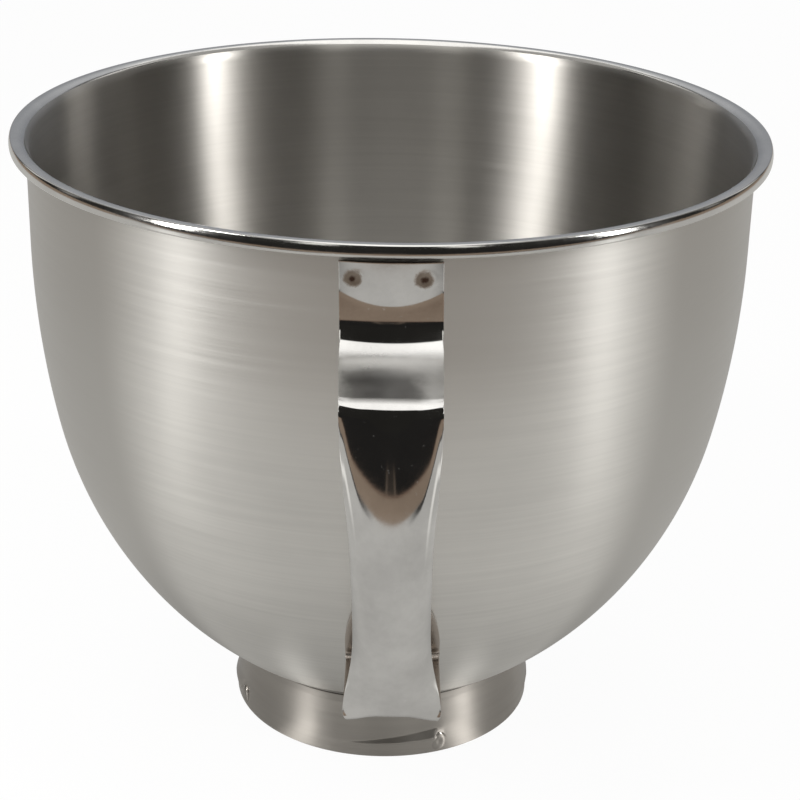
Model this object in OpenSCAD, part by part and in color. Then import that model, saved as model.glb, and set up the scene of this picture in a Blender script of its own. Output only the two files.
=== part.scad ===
// Stand mixer bowl: a drawn steel bowl with a curled rim, a locking foot ring and one strap handle.
// Sizes in millimetres. The floor is z = 0, the bowl's axis is Z and the handle points toward -Y.

/* [Bowl] */
// Outside diameter over the rolled rim.
rim_d = 216; // [200:1:230]
// Height from the floor to the top of the rolled rim.
bowl_h = 184; // [172:1:196]
// Thickness of the drawn sheet.
sheet_t = 0.9; // [0.7:0.1:1.1]
// Radial width of the rolled rim, with the wall that it grows from.
curl_w = 5.5; // [5:0.1:7]
// Height of the rolled rim.
curl_h = 4.0; // [3.4:0.1:4.6]
// Slit between the wall and the end of the rolled rim.
curl_gap = 0.4; // [0.2:0.1:0.8]
// Length of the upright wall, measured down from the top of the rim.
straight_h = 31.6; // [26:0.2:38]
// Height of the top of the belly, where the long upper curve of the side runs into it.
belly_z = 99.2; // [90:0.2:110]
// Angle that the upper curve turns through.
upper_arc_deg = 11.5; // [9:0.5:14]
// Radius of the flat part of the bottom.
floor_r = 31.5; // [28:0.5:36]
// Corner radius between the flat bottom and the belly.
corner_r = 12; // [8:0.5:15]
// Height of the underside of the flat bottom above the floor.
floor_z = 14; // [11:0.5:17]
// Radius of the raised dimple in the middle of the bottom.
boss_r = 14; // [10:0.5:18]
// Height of the raised dimple.
boss_h = 4; // [2:0.5:6]

/* [Foot ring] */
// Outside diameter of the foot ring at the floor.
foot_d = 92; // [88:0.5:98]
// Thickness of the foot ring's sheet.
foot_t = 1.2; // [1:0.1:1.6]
// Height of the upright lower band of the foot ring.
foot_band_h = 3; // [2:0.5:5]
// Height at which the foot ring has drawn in to its neck.
foot_neck_z = 13; // [10:0.5:15]
// How far the neck is drawn in from the lower band.
foot_draw = 1.0; // [0.4:0.1:1.6]
// Width of the lip that is turned in at the floor.
foot_lip_w = 3; // [2:0.5:5]
// Number of locking lugs around the foot.
lug_count = 4; // [2:1:5]
// Angle that one lug covers.
lug_arc_deg = 43; // [34:1:50]
// How far the thick end of a lug stands out from the ring.
lug_out = 1.6; // [1:0.1:2]
// Height of the lug's sloping upper face.
lug_face_h = 2.4; // [1.8:0.1:3]
// Height of the lug's lower side, which fades back into the ring.
lug_skirt_h = 4.2; // [3.4:0.1:5]
// Height of the lug's crest above the floor, halfway along.
lug_crest_z = 5.8; // [5:0.1:7]
// Helix angle of the lug.
lug_rise_deg = 4.2; // [2:0.2:6]
// Width of the round stop at the thick end of a lug.
stop_w = 4; // [3:0.2:5]
// Height of the stop.
stop_h = 6; // [5:0.2:7]
// How far the stop stands out from the ring.
stop_out = 0.9; // [0.5:0.1:1.3]

/* [Handle] */
// Width of the flat strap before it is pressed.
strap_w = 25.4; // [22:0.2:28]
// Thickness of the strap.
strap_t = 1.5; // [1.2:0.1:2]
// Gap between the rolled rim and the upper end of the handle.
plate_drop = 1.8; // [1:0.1:4]
// Depth below the rim of the corner where the upper plate turns out into the ledge.
ledge_drop = 27.5; // [24:0.5:34]
// Slope of the ledge below the horizontal.
ledge_slope_deg = 11; // [6:1:20]
// How far the ledge's outer corner stands out from the bowl's wall.
ledge_reach = 27; // [24:0.5:34]
// Radius of the bend between plate and ledge, on the visible face.
bend_r = 8.6; // [6:0.2:10]
// Radius of the bend between ledge and grip, on the visible face.
brow_r = 5; // [4:0.2:7]
// Angle at which the top of the grip leans out from upright.
grip_top_deg = 9; // [4:0.5:14]
// Angle at which the foot of the grip leans in from upright.
grip_foot_deg = 20; // [10:0.5:26]
// How far the lower fold stands out from the bowl's widest wall.
fold_reach = 16.8; // [13:0.4:24]
// Radius of the lower fold, on the outside.
fold_r = 2.4; // [2.2:0.1:3]
// Upward slope of the return leg, from the wall to the fold.
leg_tilt_deg = 8; // [4:1:12]
// Height at which the tab starts to lie on the wall.
tab_low_z = 60; // [56:0.5:64]
// Length of the tab along the wall.
tab_len = 28; // [22:1:32]
// Radius of the bend between the return leg and the tab, on the outside.
tab_bend_r = 3; // [2.4:0.1:4]
// Radius of the grip's rolled-back edges.
edge_r = 4; // [3.4:0.1:4.6]
// Angle that the grip's edges roll back at the waist.
edge_deg = 84; // [70:1:88]
// Straight part at the end of each rolled-back edge.
edge_end = 1.5; // [1:0.1:2]
// Rise of the lower fold's middle over its corners.
fold_arch = 1.2; // [0.6:0.1:1.6]
// Lean of the welded handle from upright.
handle_lean_deg = 1.1; // [-1.5:0.1:1.5]
// Sideways offset of the handle's upper plate.
handle_shift = 0.5; // [-1:0.1:1]
// Gap left between welded faces.
weld_gap = 0.1; // [0.05:0.05:0.2]

/* [Hidden] */
$fn = 96;

// Radius of the wall's outer face under the rim.
wall_r = rim_d / 2 - curl_w + sheet_t;
// Centre height of the rolled rim and of the side's upper curve.
curl_z = bowl_h - curl_h / 2;
side_z = bowl_h - straight_h;
// Radius and lower end of the upper curve.
upper_arc_r = (side_z - belly_z) / sin(upper_arc_deg);
join_r = wall_r - upper_arc_r * (1 - cos(upper_arc_deg));
join_z = belly_z;
// The belly is the one arc that runs on from the upper curve into the bottom corner.
run_r = join_r - floor_r;
run_z = join_z - floor_z - corner_r;
belly_r = (run_r * run_r + run_z * run_z - corner_r * corner_r)
    / (2 * (run_r * cos(upper_arc_deg) - run_z * sin(upper_arc_deg) - corner_r));
belly_cr = join_r - belly_r * cos(upper_arc_deg);
belly_cz = join_z + belly_r * sin(upper_arc_deg);
belly_deg = asin((belly_cz - floor_z - corner_r) / (belly_r - corner_r));
// The sphere that the raised dimple is part of.
boss_sphere_r = (boss_r * boss_r + boss_h * boss_h) / (2 * boss_h);
boss_sphere_z = floor_z + boss_h - boss_sphere_r;
// Overlap for cuts that pass right through.
eps = 0.5;

steel = [0.74, 0.73, 0.71];
ring_steel = [0.66, 0.64, 0.61];
strap_steel = [0.8, 0.8, 0.8];

// Half section of everything inside the bowl's outer face moved in by d, up to height top.
module bowl_area(d, top) {
    cut_join = side_z - (upper_arc_r - d) * sin(upper_arc_deg);
    cut_belly = belly_cz - (belly_r - d) * sin(belly_deg);
    difference() {
        union() {
            translate([0, side_z])
                square([wall_r - d, top - side_z]);
            intersection() {
                translate([wall_r - upper_arc_r, side_z])
                    circle(r = upper_arc_r - d);
                translate([0, cut_join])
                    square([wall_r, side_z - cut_join]);
            }
            intersection() {
                translate([belly_cr, belly_cz])
                    circle(r = belly_r - d);
                translate([0, cut_belly])
                    square([wall_r, cut_join - cut_belly]);
            }
            intersection() {
                translate([floor_r, floor_z + corner_r])
                    circle(r = corner_r - d);
                translate([floor_r, floor_z + d])
                    square([wall_r, cut_belly - floor_z - d]);
            }
            translate([0, floor_z + d])
                square([floor_r, cut_belly - floor_z - d]);
        }
        translate([0, boss_sphere_z])
            circle(r = boss_sphere_r + d);
    }
}

// Section of the rolled rim's outline, moved in by d.
module curl_outline(d) {
    r = curl_h / 2 - d;
    left = rim_d / 2 - curl_w + curl_h / 2;
    right = rim_d / 2 - curl_h / 2;
    for (x = [left, right])
        translate([x, curl_z])
            circle(r = r);
    translate([left, curl_z - r])
        square([right - left, 2 * r]);
}

module bowl_shell() {
    color(steel)
        rotate_extrude() {
            difference() {
                bowl_area(0, curl_z);
                bowl_area(sheet_t, bowl_h + eps);
            }
            difference() {
                curl_outline(0);
                curl_outline(sheet_t);
                translate([0, curl_z - curl_h])
                    square([wall_r + curl_gap, curl_h]);
            }
        }
}

// Body of one lug: two cones that meet in a crest, tilted and set off the axis so that they
// rise out of the ring toward the right. d moves the surface inward.
module lug_body(d) {
    foot_r = foot_d / 2;
    drift = lug_out / (cos(60 - lug_arc_deg / 2) - cos(60 + lug_arc_deg / 2));
    crest_r = foot_r - drift * cos(60 + lug_arc_deg / 2) - d;
    deep = lug_out + foot_draw + 1;
    translate([drift * sin(60), -drift * cos(60), lug_crest_z])
        rotate([0, -lug_rise_deg, 0])
            rotate_extrude()
                polygon([[crest_r - deep - 2, lug_face_h * 1.6], [crest_r - deep, lug_face_h * deep / lug_out],
                    [crest_r, 0], [crest_r - lug_out, -lug_skirt_h], [crest_r - deep - 2, -lug_skirt_h]]);
}

// Wedge of space that one lug may fill.
module lug_sector() {
    half = lug_arc_deg / 2;
    far = foot_d;
    translate([0, 0, 0.4])
        linear_extrude(foot_neck_z)
            polygon([[0, 0], [-far * sin(half), -far * cos(half)], [0, -far], [far * sin(half), -far * cos(half)]]);
}

// Round stop at the thick end of one lug.
module lug_stop(d) {
    r = stop_w / 2;
    sink = (foot_d / 2 + stop_out) - r;
    rotate([0, 0, lug_arc_deg / 2 + 2.2])
        translate([0, -sink, 0]) {
            for (z = [1 + r, 1 + stop_h - r])
                translate([0, 0, z])
                    sphere(r = r - d);
            translate([0, 0, 1 + r])
                cylinder(r = r - d, h = stop_h - stop_w);
        }
}

// Sheet section of the foot ring, moved in by d.
module foot_area(d) {
    r = foot_d / 2 - d;
    polygon([[0, d], [r, d], [r, foot_band_h], [r - foot_draw, foot_neck_z],
        [r - foot_draw, foot_neck_z + 3 * floor_z], [0, foot_neck_z + 3 * floor_z]]);
}

module base_ring() {
    color(ring_steel)
        difference() {
            union() {
                rotate_extrude()
                    foot_area(0);
                for (i = [0 : lug_count - 1])
                    rotate([0, 0, i * 360 / lug_count]) {
                        intersection() {
                            lug_body(0);
                            lug_sector();
                        }
                        lug_stop(0);
                    }
            }
            rotate_extrude()
                difference() {
                    foot_area(foot_t);
                    square([foot_d, foot_t]);
                }
            translate([0, 0, -eps])
                cylinder(r = foot_d / 2 - foot_lip_w, h = foot_t + 2 * eps);
            rotate_extrude()
                bowl_area(-weld_gap, side_z + eps);
        }
}

// Handle path. It follows the strap's visible face in the plane of the handle, as points
// [out, z] with out measured from the bowl's axis. It runs down the plate, out along the
// ledge, down the grip, round the fold, back along the leg and up the wall under the tab.
plate_out = wall_r + weld_gap + strap_t;
plate_top_z = bowl_h - curl_h - plate_drop;
ledge_out = wall_r + ledge_reach;
wall_off = belly_r + weld_gap;
tab_deg = asin((belly_cz - tab_low_z) / wall_off);
tab_start = [belly_cr + wall_off * cos(tab_deg), tab_low_z];
tab_turn_deg = 90 + tab_deg + leg_tilt_deg;
tab_corner = tab_start - [sin(tab_deg), cos(tab_deg)] * tab_bend_r * tan(tab_turn_deg / 2);
fold_out = wall_r + fold_reach;
fold_corner = [fold_out, tab_corner[1] + (fold_out - tab_corner[0]) * tan(leg_tilt_deg)];

ledge_z = bowl_h - ledge_drop;
brow_corner = [ledge_out, ledge_z - (ledge_out - plate_out) * tan(ledge_slope_deg)];
grip_top_dir = [sin(grip_top_deg), -cos(grip_top_deg)];
grip_foot_dir = [-sin(grip_foot_deg), -cos(grip_foot_deg)];

function unit(v) = v / norm(v);
function turn(a, b) = atan2(a[0] * b[1] - a[1] * b[0], a * b);
function mix(a, b, t) = a + (b - a) * t;
function ramp(t) = let (c = min(1, max(0, t))) c * c * (3 - 2 * c);

// Points of a bend of radius r at corner p, from direction a into direction b.
function bend(p, r, a, b) =
    let (w = turn(a, b), side = w > 0 ? 1 : -1, start = p - a * r * tan(abs(w) / 2),
        centre = start + side * r * [-a[1], a[0]], v = start - centre, steps = max(3, ceil(abs(w) / 13)))
    [for (k = [0 : steps])
        let (q = w * k / steps)
        centre + [v[0] * cos(q) - v[1] * sin(q), v[0] * sin(q) + v[1] * cos(q)]];

plate_dir = [0, -1];
ledge_dir = unit(brow_corner - [plate_out, ledge_z]);
leg_dir = [-cos(leg_tilt_deg), -sin(leg_tilt_deg)];
tab_dir = [sin(tab_deg), cos(tab_deg)];
plate_bend = bend([plate_out, ledge_z], bend_r, plate_dir, ledge_dir);
brow_bend = bend(brow_corner, brow_r, ledge_dir, grip_top_dir);
fold_bend = bend(fold_corner, fold_r, grip_foot_dir, leg_dir);
tab_bend = bend(tab_corner, tab_bend_r, leg_dir, tab_dir);

// The grip is one smooth curve from the brow to the fold.
grip_start = brow_bend[len(brow_bend) - 1];
grip_end = fold_bend[0];
grip_pull = norm(grip_end - grip_start) * 0.36;
grip_steps = 30;
grip_points = [for (k = [1 : grip_steps - 1])
    let (t = k / grip_steps, u = 1 - t)
    u * u * u * grip_start + 3 * u * u * t * (grip_start + grip_pull * grip_top_dir)
        + 3 * u * t * t * (grip_end - grip_pull * grip_foot_dir) + t * t * t * grip_end];

// Points of the tab, on the bowl's belly.
tab_steps = 14;
tab_points = [for (k = [1 : tab_steps])
    let (q = tab_deg - (tab_len / wall_off) * (180 / PI) * k / tab_steps)
    [belly_cr + wall_off * cos(q), belly_cz - wall_off * sin(q)]];

raw = concat([[plate_out, plate_top_z]], plate_bend, brow_bend, grip_points, fold_bend, tab_bend, tab_points);

// Longest straight step along the path.
step = 3.2;
path = [for (i = [0 : len(raw) - 2])
    let (n = max(1, ceil(norm(raw[i + 1] - raw[i]) / step)))
    for (k = [0 : n - 1]) mix(raw[i], raw[i + 1], k / n), raw[len(raw) - 1]];
count = len(path);
along = [for (i = 0, s = 0; i < count; s = s + (i < count - 1 ? norm(path[i + 1] - path[i]) : 0), i = i + 1) s];
function along_at(p) = [for (i = [0 : count - 1]) if (norm(path[i] - p) < 0.001) along[i]][0];
grip_from = along_at(grip_start);
grip_to = along_at(grip_end);
fold_at = (grip_to + along_at(fold_bend[len(fold_bend) - 1])) / 2;
ledge_from = along_at(plate_bend[len(plate_bend) - 1]);
brow_from = along_at(brow_bend[0]);
tab_from = along_at(tab_bend[0]);
tab_on = along_at(tab_bend[len(tab_bend) - 1]);
total = along[count - 1];

// Direction of the path and the visible face's normal at station i.
function tangent(i) = unit(path[min(i + 1, count - 1)] - path[max(i - 1, 0)]);
function face_normal(i) = let (t = tangent(i)) [-t[1], t[0]];

// Share of the full edge roll at station i: none on the plate and the leg, full at the waist.
brow_share = 0.42;
grip_top_share = 0.5;
grip_foot_share = 0.48;
waist_from = 0.45;
waist_to = 0.75;
function roll_share(i) =
    let (d = along[i], g = (d - grip_from) / (grip_to - grip_from))
    d < ledge_from || d > fold_at ? 0
    : d < brow_from ? brow_share * ramp((d - ledge_from) / (brow_from - ledge_from))
    : d < grip_from ? mix(brow_share, grip_top_share, (d - brow_from) / (grip_from - brow_from))
    : g < waist_from ? mix(1, grip_top_share, pow(1 - g / waist_from, 2.2))
    : g < waist_to ? 1
    : g < 1 ? mix(1, grip_foot_share, pow((g - waist_to) / (1 - waist_to), 3.2))
    : grip_foot_share * (1 - ramp((d - grip_to) / (fold_at - grip_to)));
// Share of the wrap round the bowl: full on the plate and the tab.
function wrap_share(i) =
    let (d = along[i], w = turn(plate_dir, tangent(i)))
    d < brow_from ? 1 - ramp(w / 60) : ramp((d - tab_from + 4) / (tab_on - tab_from + 4));
// Half width of the strap at station i, with the tab's rounded end.
function half_at(i) =
    let (s = strap_w / 2, d = s - (total - along[i]))
    d > 0 ? s * max(0.3, sqrt(1 - pow(d / s, 2) * 0.97)) : s;

// Point of the strap at station i, at developed width s, at depth t behind the visible face.
function strap_point(i, s, t) =
    let (roll = edge_deg * roll_share(i), half = half_at(i), flat = half - edge_r * roll * PI / 180 - edge_end,
        over = max(0, abs(s) - flat), a = min(roll, over / edge_r * 180 / PI),
        rest = max(0, over - edge_r * roll * PI / 180), sg = s < 0 ? -1 : 1,
        x = sg * (min(abs(s), flat) + edge_r * sin(a) + rest * cos(a) - t * sin(a)),
        h = -edge_r * (1 - cos(a)) - rest * sin(a) - t * cos(a),
        m = path[i] + face_normal(i) * h,
        near = max(0, 1 - pow((along[i] - fold_at) / 10, 2)),
        lift = fold_arch * (1 - pow(x / half, 2)) * near * near,
        aside = x + handle_shift + (plate_top_z - m[1]) * tan(handle_lean_deg),
        w = wrap_share(i), q = aside / m[0] * 180 / PI)
    [mix(aside, m[0] * sin(q), w), -mix(m[0], m[0] * cos(q), w), m[1] + lift];

across = 20;
loop = 2 * (across + 1);
strap_points = [for (i = [0 : count - 1]) each concat(
    [for (j = [0 : across]) strap_point(i, half_at(i) * (2 * j / across - 1), 0)],
    [for (j = [across : -1 : 0]) strap_point(i, half_at(i) * (2 * j / across - 1), strap_t)])];
side_faces = [for (i = [0 : count - 2]) for (j = [0 : loop - 1])
    let (a = i * loop + j, b = i * loop + (j + 1) % loop, c = a + loop, d = b + loop)
    each [[a, b, d], [a, d, c]]];
function cap(base) = [for (j = [0 : across - 1])
    let (a = base + j, b = base + j + 1, c = base + loop - 2 - j, d = base + loop - 1 - j)
    each [[a, c, b], [a, d, c]]];
top_cap = cap(0);
end_cap = [for (f = cap((count - 1) * loop)) [f[0], f[2], f[1]]];

module handle() {
    color(strap_steel)
        polyhedron(points = strap_points, faces = concat(side_faces, top_cap, end_cap), convexity = 8);
}

bowl_shell();
base_ring();
handle();
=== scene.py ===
"""Stand mixer bowl: satin steel bowl, foot ring with locking lugs and polished strap handle."""
import math

import bmesh
import bpy
from mathutils import Matrix, Vector


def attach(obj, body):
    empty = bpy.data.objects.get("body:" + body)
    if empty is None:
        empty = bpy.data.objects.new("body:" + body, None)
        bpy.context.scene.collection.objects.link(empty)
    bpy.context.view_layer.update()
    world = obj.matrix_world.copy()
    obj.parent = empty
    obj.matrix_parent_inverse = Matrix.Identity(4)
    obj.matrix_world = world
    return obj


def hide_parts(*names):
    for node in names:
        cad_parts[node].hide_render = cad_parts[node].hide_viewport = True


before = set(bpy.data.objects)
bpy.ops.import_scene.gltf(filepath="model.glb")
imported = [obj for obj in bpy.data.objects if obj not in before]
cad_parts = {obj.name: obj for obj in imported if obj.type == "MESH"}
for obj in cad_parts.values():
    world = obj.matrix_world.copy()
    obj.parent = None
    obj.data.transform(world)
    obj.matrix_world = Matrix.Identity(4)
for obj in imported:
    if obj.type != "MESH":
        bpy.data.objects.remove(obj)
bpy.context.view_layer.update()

MM = 0.001

# Bowl, in millimetres, as the solid has it
RIM_R = 108.0
BOWL_H = 184.0
SHEET = 0.9
CURL_W = 5.5
CURL_GAP = 0.4
WALL_R = RIM_R - CURL_W + SHEET
WALL_TOP = 181.0
RIM_TOP = 183.3
RIM_LOW = 179.8
FLARE_Z = 179.3
FLARE_OUT = 3.5
BEAD_R = 4.5
BEAD_Z = 181.2
BEAD_TOP_R = 0.6
BEAD_LOW_R = 0.75
SIDE_Z = BOWL_H - 31.6
BELLY_Z = 99.2
SIDE_TURN = math.radians(11.5)
FLOOR_R = 31.5
CORNER_R = 12.0
FLOOR_Z = 14.0
BOSS_R = 14.0
BOSS_H = 4.0

# Foot ring
FOOT_R = 46.0
FOOT_T = 1.2
FOOT_BAND = 3.0
FOOT_NECK = 17.0
FOOT_DRAW = 1.9
FOOT_LIP = 3.0
LUGS = 4
LUG_ARC = 45.0
LUG_OUT = 1.0
LUG_FACE = 2.9
LUG_SKIRT = 4.2
LUG_CREST = 4.7
LUG_RISE = math.radians(3.2)
STOP_W = 4.0
STOP_H = 6.0
STOP_OUT = 0.9

# Handle
STRAP_W = 25.4
STRAP_T = 1.5
WELD_GAP = 0.1
PLATE_TOP = 178.4
LEDGE_Z = BOWL_H - 28.1
LEDGE_SLOPE = math.radians(11.3)
LEDGE_OUT = WALL_R + 25.4
BEND_R = 8.6
BROW_R = 5.0
GRIP_TOP = math.radians(13)
GRIP_FOOT = math.radians(20)
FOLD_OUT = WALL_R + 16.8
FOLD_R = 2.4
LEG_TILT = math.radians(8)
TAB_LOW = 59.2
TAB_LEN = 28.0
TAB_BEND = 3.0
EDGE_R = 5.0
EDGE_TURN = math.radians(80)
EDGE_EASE = 3.2
TURN_EASE = math.radians(10)
BROW_NARROW = 0.023
EDGE_END = 1.0
ROLL_STARTS = 1.5
ROLL_LENGTH = 21.0
ROLL_POWER = 1.35
OPEN_FROM = 0.6
OPEN_POWER = 4.5
CROWN = math.radians(18)
CROWN_EASE = 0.4
PLATE_SEAT = 166.5
PLATE_TILT = math.tan(math.radians(6.2))
TAB_ROUND = 24.0
FOLD_ARCH = 1.0
LEAN = math.tan(math.radians(1.1))
SHIFT = 0.5
PLEATS = ((0.4, 0.55, 0.09), (3.0, 0.6, 0.08))
WELD_MARKS = ((-9.3, 173.9), (8.0, 173.9))


def new_piece(name, bm, *materials):
    """Turns a bmesh into an object at the origin, with smooth faces."""
    mesh = bpy.data.meshes.new(name)
    bm.to_mesh(mesh)
    bm.free()
    for material in materials:
        mesh.materials.append(material)
    mesh.shade_smooth()
    piece = bpy.data.objects.new(name, mesh)
    bpy.context.collection.objects.link(piece)
    return piece


def arc(cx, cz, r, start, end, steps):
    """Points on an arc in the half section, angles in degrees from the outward direction."""
    points = []
    for k in range(steps + 1):
        a = math.radians(start + (end - start) * k / steps)
        points.append((cx + r * math.cos(a), cz + r * math.sin(a)))
    return points


def bowl_curve():
    """Radii, centres and angles of the arcs in the bowl's outer section."""
    upper_r = (SIDE_Z - BELLY_Z) / math.sin(SIDE_TURN)
    join_r = WALL_R - upper_r * (1 - math.cos(SIDE_TURN))
    run_r = join_r - FLOOR_R
    run_z = BELLY_Z - FLOOR_Z - CORNER_R
    across = run_r * math.cos(SIDE_TURN) - run_z * math.sin(SIDE_TURN) - CORNER_R
    belly_r = (run_r ** 2 + run_z ** 2 - CORNER_R ** 2) / (2 * across)
    belly_cr = join_r - belly_r * math.cos(SIDE_TURN)
    belly_cz = BELLY_Z + belly_r * math.sin(SIDE_TURN)
    low = math.asin((belly_cz - FLOOR_Z - CORNER_R) / (belly_r - CORNER_R))
    return upper_r, belly_r, belly_cr, belly_cz, low


UPPER_R, BELLY_R, BELLY_CR, BELLY_CZ, BELLY_LOW = bowl_curve()


def bowl_side(inset):
    """The bowl's section from the axis out to the top of the wall, moved in by inset."""
    sphere = (BOSS_R ** 2 + BOSS_H ** 2) / (2 * BOSS_H)
    sphere_z = FLOOR_Z + BOSS_H - sphere
    floor = FLOOR_Z + inset
    edge = math.degrees(math.acos((floor - sphere_z) / (sphere + inset)))
    turn = math.degrees(SIDE_TURN)
    low = math.degrees(BELLY_LOW)
    points = arc(0, sphere_z, sphere + inset, 90, 90 - edge, 12)
    points[0] = (0.0, sphere_z + sphere + inset)
    start = points[-1][0]
    points += [(start + (FLOOR_R - start) * k / 6, floor) for k in range(1, 6)]
    points += arc(FLOOR_R, FLOOR_Z + CORNER_R, CORNER_R - inset, -90, -low, 10)
    points += arc(BELLY_CR, BELLY_CZ, BELLY_R - inset, -low, -turn, 44)[1:]
    points += arc(WALL_R - UPPER_R, SIDE_Z, UPPER_R - inset, -turn, 0, 20)[1:]
    end = WALL_TOP if inset == 0 else FLARE_Z
    points += [(WALL_R - inset, SIDE_Z + (end - SIDE_Z) * k / 14) for k in range(1, 14)]
    return points


def bead_front():
    """The rolled rim's outer face: a tight top corner, a flat arc and a tight lower corner."""
    high = 22.0
    low = -10.0
    cx = RIM_R - BEAD_R
    top_arm = BEAD_R - BEAD_TOP_R
    low_arm = BEAD_R - BEAD_LOW_R
    top_x = cx + top_arm * math.cos(math.radians(high))
    top_z = BEAD_Z + top_arm * math.sin(math.radians(high))
    low_x = cx + low_arm * math.cos(math.radians(low))
    low_z = BEAD_Z + low_arm * math.sin(math.radians(low))
    line = arc(low_x, low_z, BEAD_LOW_R, -90, low, 8)
    line += arc(cx, BEAD_Z, BEAD_R, low, high, 14)[1:]
    return line + arc(top_x, top_z, BEAD_TOP_R, high, 90, 8)[1:]


def bowl_section():
    """The whole sheet as one line from the axis, round the rolled rim, back to the axis."""
    slit = WALL_R + CURL_GAP
    hollow_top = RIM_TOP - SHEET
    hollow_low = RIM_LOW + SHEET
    hollow_out = RIM_R - SHEET
    line = bowl_side(0.0)
    line += [(WALL_R, WALL_TOP), (WALL_R + 0.4, WALL_TOP + 0.9), (WALL_R + 1.2, hollow_top)]
    line += arc(hollow_out - 0.8, hollow_top - 0.8, 0.8, 90, -90, 10)
    line += [(hollow_out - 1.2, hollow_low), (slit, hollow_low), (slit, RIM_LOW)]
    line += bead_front()
    flare = arc(0, 0, 1.0, 90, 180, 20)
    line += [(WALL_R - SHEET + FLARE_OUT * (1 + x), FLARE_Z + (RIM_TOP - FLARE_Z) * z)
             for x, z in flare]
    line += list(reversed(bowl_side(SHEET)))
    return line


def spin_section(line, steps, closed):
    """Turns a half section right round the Z axis."""
    bm = bmesh.new()
    verts = [bm.verts.new((r * MM, 0, z * MM)) for r, z in line]
    pairs = list(zip(verts, verts[1:]))
    if closed:
        pairs.append((verts[-1], verts[0]))
    edges = [bm.edges.new(pair) for pair in pairs]
    bmesh.ops.spin(bm, geom=verts + edges, cent=(0, 0, 0), axis=(0, 0, 1),
                   angle=math.tau, steps=steps, use_merge=True)
    bmesh.ops.remove_doubles(bm, verts=bm.verts, dist=1e-6)
    bmesh.ops.recalc_face_normals(bm, faces=bm.faces)
    return bm


def build_bowl(outside, inside, rim):
    """The drawn bowl with its rolled rim, one closed sheet."""
    bm = spin_section(bowl_section(), 256, False)
    bead_in = (WALL_R + 0.2) * MM
    bead_low = (RIM_LOW - 0.01) * MM
    for face in bm.faces:
        middle = face.calc_center_median()
        radius = math.hypot(middle.x, middle.y)
        outward = 0.0
        if radius > 1e-6:
            outward = (face.normal.x * middle.x + face.normal.y * middle.y) / radius
        if middle.z > bead_low and radius > bead_in:
            face.material_index = 2
        elif outward - face.normal.z > 0:
            face.material_index = 0
        else:
            face.material_index = 1
    piece = new_piece("bowl_body", bm, outside, inside, rim)
    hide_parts("bowl_shell")
    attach(piece, "root")
    return piece


def smooth_step(t):
    t = min(1.0, max(0.0, t))
    return t * t * (3 - 2 * t)


def soft_max(value, softness):
    """Zero for negative values, with a rounded change to the value itself."""
    return 0.5 * (value + math.sqrt(value * value + softness * softness)) - softness * 0.5


def foot_radius(z):
    """Outer radius of the foot ring at height z."""
    share = min(1.0, max(0.0, (z - FOOT_BAND) / (FOOT_NECK - FOOT_BAND)))
    return FOOT_R - FOOT_DRAW * share ** 1.5


def lug_bulge(angle, z):
    """How far a lug stands out of the ring; angle in degrees from the front."""
    half = LUG_ARC / 2
    pitch = 360 / LUGS
    angle = (angle + pitch / 2) % pitch - pitch / 2
    spread = math.cos(math.radians(60 - half)) - math.cos(math.radians(60 + half))
    drift = LUG_OUT / spread
    crest = FOOT_R - drift * math.cos(math.radians(60 + half))
    x = FOOT_R * math.sin(math.radians(angle))
    up = z - LUG_CREST - (x - drift * math.sin(math.radians(60))) * math.tan(LUG_RISE)
    slope = up * LUG_OUT / LUG_FACE if up > 0 else -up * LUG_OUT / LUG_SKIRT
    body = crest - slope + drift * math.cos(math.radians(60 - angle))
    out = soft_max(body - FOOT_R, 0.1)
    out *= smooth_step((half + 2.5 - angle) / 5) * smooth_step((angle + half + 4) / 6)
    out *= smooth_step((z - 0.3) / 0.8)
    return out


def foot_section():
    """Closed sheet section of the foot ring, trimmed to the bowl's belly."""
    line = []
    reach = BELLY_R + WELD_GAP

    def belly_height(r):
        return BELLY_CZ - math.sqrt(reach ** 2 - (r - BELLY_CR) ** 2)

    neck = FOOT_R - FOOT_DRAW
    top = belly_height(neck) + 0.5
    line += [(FOOT_R - FOOT_LIP, 0.0), (FOOT_R - 1.6, 0.0)]
    line += arc(FOOT_R - 0.6, 0.6, 0.6, -90, 0, 5)
    rows = 46
    for k in range(1, rows + 1):
        z = 0.6 + (top - 0.6) * k / rows
        line.append((foot_radius(z), z))
    inner_top = belly_height(neck - FOOT_T) + 0.4
    line.append((neck - FOOT_T, inner_top))
    for k in range(1, 20):
        z = inner_top + (FOOT_T + 0.4 - inner_top) * k / 19
        line.append((foot_radius(z) - FOOT_T, z))
    line += [(FOOT_R - FOOT_T - 0.4, FOOT_T), (FOOT_R - FOOT_LIP, FOOT_T)]
    return line


def add_stop(bm, bearing):
    """One round pressed stop beside a lug, a flat dome let into the ring."""
    made = bmesh.ops.create_uvsphere(bm, u_segments=40, v_segments=24, radius=1.0)
    for vert in made["verts"]:
        across, out, tall = vert.co
        cup = 0.3 * math.exp(-(across * across + tall * tall) / 0.16)
        depth = STOP_OUT * (1 - cup) * -out if out < 0 else -0.6 * out
        angle = bearing + STOP_W / 1.5 * across / FOOT_R
        radius = FOOT_R - 0.1 + depth
        vert.co = Vector((math.sin(angle) * radius, -math.cos(angle) * radius,
                          1 + STOP_H / 2 + STOP_H / 2.0 * tall)) * MM


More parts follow.
